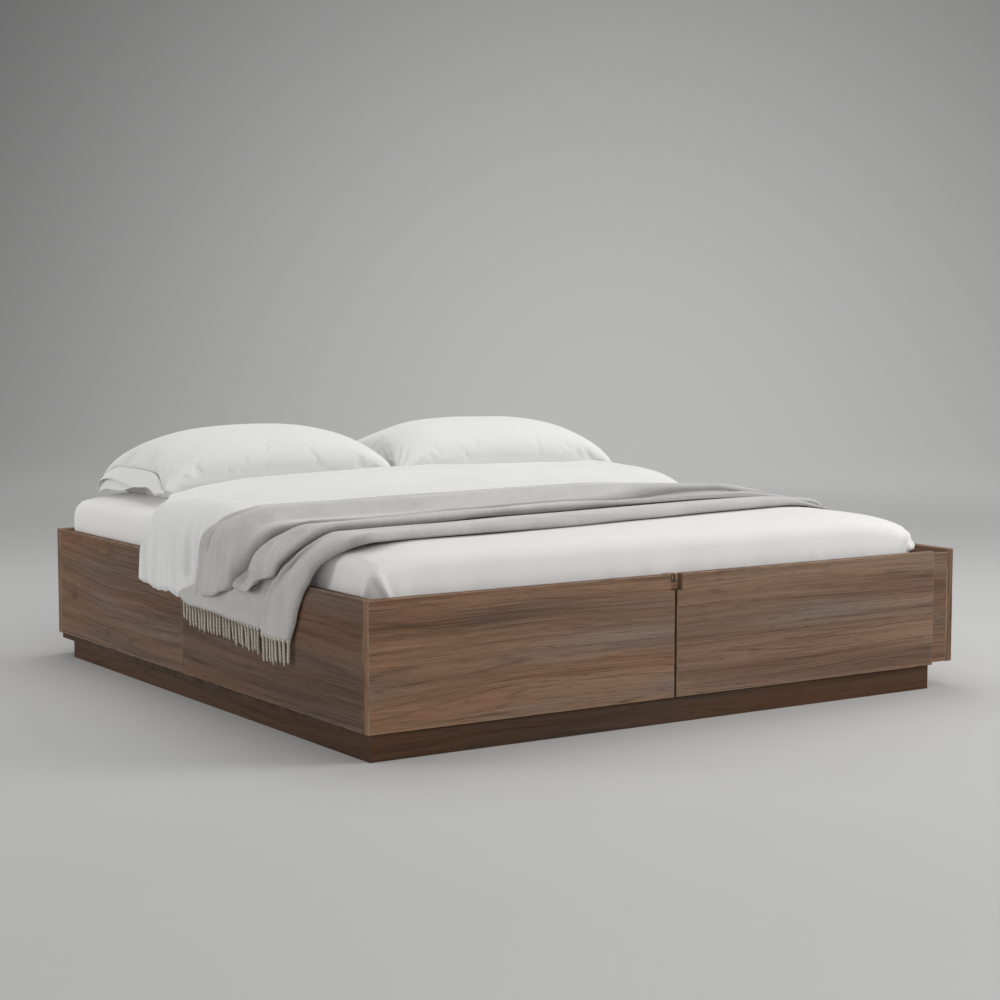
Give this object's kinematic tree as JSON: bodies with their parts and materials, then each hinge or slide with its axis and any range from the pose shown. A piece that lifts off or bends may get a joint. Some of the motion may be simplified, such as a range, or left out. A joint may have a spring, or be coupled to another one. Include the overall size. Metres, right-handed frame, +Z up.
{
  "type": "storage bed",
  "caption": "Low platform storage bed with handleless drawers at both sides and the foot, a recessed plinth and slats, dressed with mattress, pillows, duvet and throw.",
  "frame": {"origin": "on the floor under the middle of the bed, on the underside of the plinth spine", "axes": "+Z up, +Y from the foot towards the head, +X to the right seen from the foot"},
  "size_m": [2.1502, 2.13, 0.7828],
  "materials": {
    "walnut": "matt lacquered walnut veneer, grain along the board",
    "walnut_plinth": "matt dark walnut veneer",
    "carcass_board": "plain veneered board",
    "slat_wood": "planed softwood",
    "runner_steel": "zinc plated",
    "catch_metal": "dark painted",
    "sheet_cotton": "smooth white cotton",
    "pillow_linen": "washed white linen",
    "duvet_cotton": "soft washed white cotton",
    "throw_wool": "brushed light grey wool with a fringe"
  },
  "bodies": {
    "frame": {"plinth_foot": "walnut_plinth", "plinth_head": "walnut_plinth", "plinth_left": "walnut_plinth", "plinth_right": "walnut_plinth", "plinth_spine": "walnut_plinth", "base_deck": "carcass_board", "divider_left": "carcass_board", "divider_right": "carcass_board", "divider_centre": "carcass_board", "cross_panels": "carcass_board", "seam_panels": "carcass_board", "end_panels": "carcass_board", "head_panel": "walnut", "rail_left": "walnut", "rail_right": "walnut", "rail_foot": "walnut", "slat_ledges": "slat_wood", "slats_left": "slat_wood", "slats_right": "slat_wood", "centre_block": "walnut", "catch_plate": "catch_metal", "mattress": "sheet_cotton", "pillow_left": "pillow_linen", "pillow_right": "pillow_linen", "duvet": "duvet_cotton", "throw": "throw_wool", "left_head_runner_fixed": "runner_steel", "left_foot_runner_fixed": "runner_steel", "right_head_runner_fixed": "runner_steel", "right_foot_runner_fixed": "runner_steel", "foot_left_runner_fixed": "runner_steel", "foot_right_runner_fixed": "runner_steel"},
    "left_head_drawer": {"left_head_front": "walnut", "left_head_box": "carcass_board", "left_head_runner_inner": "runner_steel"},
    "left_head_runner": {"left_head_runner_middle": "runner_steel"},
    "left_foot_drawer": {"left_foot_front": "walnut", "left_foot_return": "walnut", "left_foot_box": "carcass_board", "left_foot_runner_inner": "runner_steel"},
    "left_foot_runner": {"left_foot_runner_middle": "runner_steel"},
    "right_head_drawer": {"right_head_front": "walnut", "right_head_box": "carcass_board", "right_head_runner_inner": "runner_steel"},
    "right_head_runner": {"right_head_runner_middle": "runner_steel"},
    "right_foot_drawer": {"right_foot_front": "walnut", "right_foot_return": "walnut", "right_foot_box": "carcass_board", "right_foot_runner_inner": "runner_steel"},
    "right_foot_runner": {"right_foot_runner_middle": "runner_steel"},
    "foot_left_drawer": {"foot_left_front": "walnut", "foot_left_box": "carcass_board", "foot_left_runner_inner": "runner_steel"},
    "foot_left_runner": {"foot_left_runner_middle": "runner_steel"},
    "foot_right_drawer": {"foot_right_front": "walnut", "foot_right_box": "carcass_board", "foot_right_runner_inner": "runner_steel"},
    "foot_right_runner": {"foot_right_runner_middle": "runner_steel"}
  },
  "joints": [
    {"name": "left_head_slide", "type": "slide", "parent": "frame", "child": "left_head_drawer", "axis": [-1, 0, 0], "range_m": [0, 0.34]},
    {"name": "left_head_runner_slide", "type": "slide", "parent": "frame", "child": "left_head_runner", "axis": [-1, 0, 0], "range_m": [0, 0.17]},
    {"name": "left_foot_slide", "type": "slide", "parent": "frame", "child": "left_foot_drawer", "axis": [-1, 0, 0], "range_m": [0, 0.34], "deforming": ["throw", "duvet"]},
    {"name": "left_foot_runner_slide", "type": "slide", "parent": "frame", "child": "left_foot_runner", "axis": [-1, 0, 0], "range_m": [0, 0.17]},
    {"name": "right_head_slide", "type": "slide", "parent": "frame", "child": "right_head_drawer", "axis": [1, 0, 0], "range_m": [0, 0.34]},
    {"name": "right_head_runner_slide", "type": "slide", "parent": "frame", "child": "right_head_runner", "axis": [1, 0, 0], "range_m": [0, 0.17]},
    {"name": "right_foot_slide", "type": "slide", "parent": "frame", "child": "right_foot_drawer", "axis": [1, 0, 0], "range_m": [-0.108, 0.232]},
    {"name": "right_foot_runner_slide", "type": "slide", "parent": "frame", "child": "right_foot_runner", "axis": [1, 0, 0], "range_m": [-0.054, 0.116]},
    {"name": "foot_left_slide", "type": "slide", "parent": "frame", "child": "foot_left_drawer", "axis": [0, -1, 0], "range_m": [0, 0.6]},
    {"name": "foot_left_runner_slide", "type": "slide", "parent": "frame", "child": "foot_left_runner", "axis": [0, -1, 0], "range_m": [0, 0.3]},
    {"name": "foot_right_slide", "type": "slide", "parent": "frame", "child": "foot_right_drawer", "axis": [0, -1, 0], "range_m": [0, 0.6]},
    {"name": "foot_right_runner_slide", "type": "slide", "parent": "frame", "child": "foot_right_runner", "axis": [0, -1, 0], "range_m": [0, 0.3]}
  ],
  "couplings": [
    {"joint": "left_head_runner_slide", "follows": "left_head_slide", "ratio": 0.5},
    {"joint": "left_foot_runner_slide", "follows": "left_foot_slide", "ratio": 0.5},
    {"joint": "right_head_runner_slide", "follows": "right_head_slide", "ratio": 0.5},
    {"joint": "right_foot_runner_slide", "follows": "right_foot_slide", "ratio": 0.5},
    {"joint": "foot_left_runner_slide", "follows": "foot_left_slide", "ratio": 0.5},
    {"joint": "foot_right_runner_slide", "follows": "foot_right_slide", "ratio": 0.5}
  ]
}
